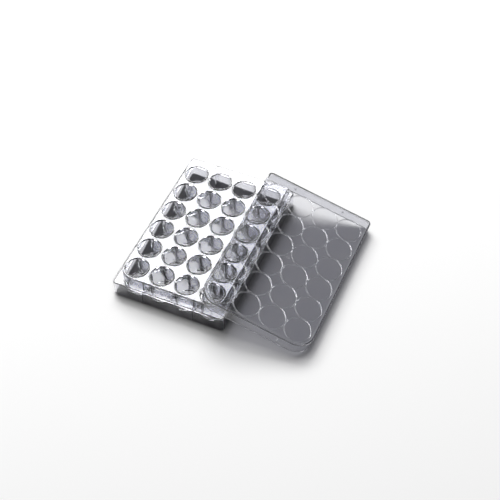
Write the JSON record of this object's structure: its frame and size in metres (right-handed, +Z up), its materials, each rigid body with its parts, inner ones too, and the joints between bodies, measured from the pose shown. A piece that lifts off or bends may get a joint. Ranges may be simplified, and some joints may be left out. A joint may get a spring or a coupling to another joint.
{
  "type": "well plate",
  "caption": "Clear multi-well cell culture plate with round flat-bottomed wells and a skirted foot, its shallow clear lid taken off and leaning on one long side.",
  "frame": {"origin": "middle of the whole set's box, plate and leaning lid together, at table height", "axes": "+X across the plate's short side, from the plate towards the leaning lid; +Y along the long side, away from the short side with the two rounded corners; +Z up"},
  "size_m": [0.1472, 0.1278, 0.0305],
  "materials": {
    "clear_plate": "crystal clear moulded polystyrene, polished",
    "clear_lid": "clear moulded polystyrene that reads smoke grey, polished"
  },
  "bodies": {
    "root": {"well_plate": "clear_plate", "lid": "clear_lid"}
  },
  "joints": []
}
